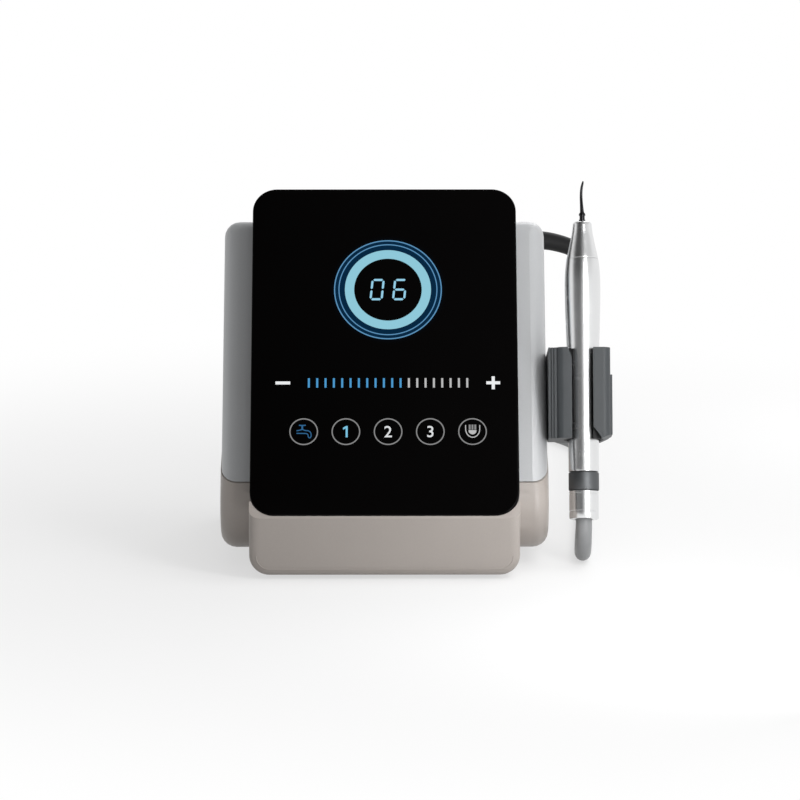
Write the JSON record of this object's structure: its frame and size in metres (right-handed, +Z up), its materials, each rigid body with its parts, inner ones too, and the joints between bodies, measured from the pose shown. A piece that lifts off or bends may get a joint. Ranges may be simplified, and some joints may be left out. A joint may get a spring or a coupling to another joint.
{
  "type": "ultrasonic dental scaler",
  "caption": "Tabletop ultrasonic dental scaler with a leaning black touch panel, a side cradle that holds a slim handpiece, and a hose coiled behind it.",
  "frame": {"origin": "middle of the front foot's underside, on the unit's centre plane", "axes": "+X to the right as seen by the user, +Y to the back, +Z up"},
  "size_m": [0.1759, 0.2891, 0.1673],
  "materials": {
    "warm_grey_plastic": "satin",
    "dark_plastic": "matt",
    "silver_plastic": "satin, metallic paint",
    "black_plastic": "matt",
    "screw_steel": "bright",
    "rubber": "matt",
    "black_glass": "polished",
    "lit_blue": "lit from behind",
    "lit_pale": "lit from behind",
    "white_print": "printed",
    "light_guide": "frosted",
    "circuit_board": "solder mask",
    "brass": "bright",
    "aluminium": "anodised",
    "copper_winding": "varnished",
    "steel": "satin",
    "plated_brass": "nickel plated",
    "clear_tube": "clear",
    "boot_rubber": "matt",
    "hose_rubber": "satin",
    "slate_plastic": "fine texture",
    "blue_plastic": "moulded",
    "satin_silver": "satin",
    "grey_ring": "satin",
    "white_plastic": "moulded",
    "ceramic": "fired",
    "titanium": "machined",
    "seal_rubber": "matt",
    "tip_steel": "polished"
  },
  "bodies": {
    "unit": {"base_housing": "warm_grey_plastic", "base_plate": "dark_plastic", "base_screws": "screw_steel", "rubber_feet": "rubber", "rear_cover": "silver_plastic", "cover_screws": "screw_steel", "panel_tray": "black_plastic", "panel_screws": "screw_steel", "touch_glass": "black_glass", "display_rings": "lit_blue", "display_digits": "lit_pale", "level_scale": "lit_blue", "touch_keys": "white_print", "light_guide_ring": "light_guide", "digit_module": "black_plastic", "touch_board": "circuit_board", "main_board": "circuit_board", "board_standoffs": "brass", "heat_sink": "aluminium", "output_transformer": "copper_winding", "power_supply": "steel", "mains_inlet": "black_plastic", "inlet_pins": "steel", "switch_bezel": "black_plastic", "foot_switch_socket": "black_plastic", "water_inlet": "plated_brass", "pressure_regulator": "aluminium", "solenoid_valve": "dark_plastic", "feed_tube": "clear_tube", "outlet_tube": "clear_tube", "hose_gland": "black_plastic", "gland_nut": "brass", "hose_boot": "boot_rubber", "hose_drop": "hose_rubber", "hose_coil": "hose_rubber", "hose_run": "hose_rubber", "coil_tie": "boot_rubber", "holder_plate": "slate_plastic", "holder_screws": "screw_steel", "holder_cradle": "slate_plastic", "cradle_liner": "rubber"},
    "rocker": {"power_rocker": "black_plastic"},
    "collet": {"release_collet": "blue_plastic"},
    "hose_end": {"tail_ferrule": "satin_silver", "coupling_ring": "grey_ring", "connector_core": "white_plastic", "contact_pins": "brass", "connector_seals": "rubber"},
    "handpiece": {"handle_sleeve": "satin_silver", "back_mass": "steel", "piezo_discs": "ceramic", "disc_electrodes": "brass", "prestress_bolt": "steel", "horn": "titanium", "horn_seal": "seal_rubber"},
    "nose": {"nose_cone": "satin_silver"},
    "tip": {"scaler_tip": "tip_steel"}
  },
  "joints": [
    {"name": "handpiece_lift", "type": "slide", "parent": "unit", "child": "hose_end", "axis": [0, 0.3371, 0.9415], "range_m": [0, 0.1]},
    {"name": "handpiece_unplug", "type": "slide", "parent": "hose_end", "child": "handpiece", "axis": [0, 0.3371, 0.9415], "range_m": [0, 0.03]},
    {"name": "nose_cone_turn", "type": "hinge", "parent": "handpiece", "child": "nose", "pos_m": [0.0895, 0.04497, 0.14072], "axis": [0, 0.3371, 0.9415], "continuous": true},
    {"name": "tip_turn", "type": "hinge", "parent": "handpiece", "child": "tip", "pos_m": [0.0895, 0.04834, 0.15014], "axis": [0, 0.3371, 0.9415], "continuous": true},
    {"name": "power_rocker", "type": "hinge", "parent": "unit", "child": "rocker", "pos_m": [-0.012, 0.109, 0.045], "axis": [1, 0, 0], "range_deg": [0, 20]},
    {"name": "inlet_collet", "type": "slide", "parent": "unit", "child": "collet", "axis": [0, -1, 0], "range_m": [0, 0.0012], "stiffness_N_per_m": 500}
  ]
}
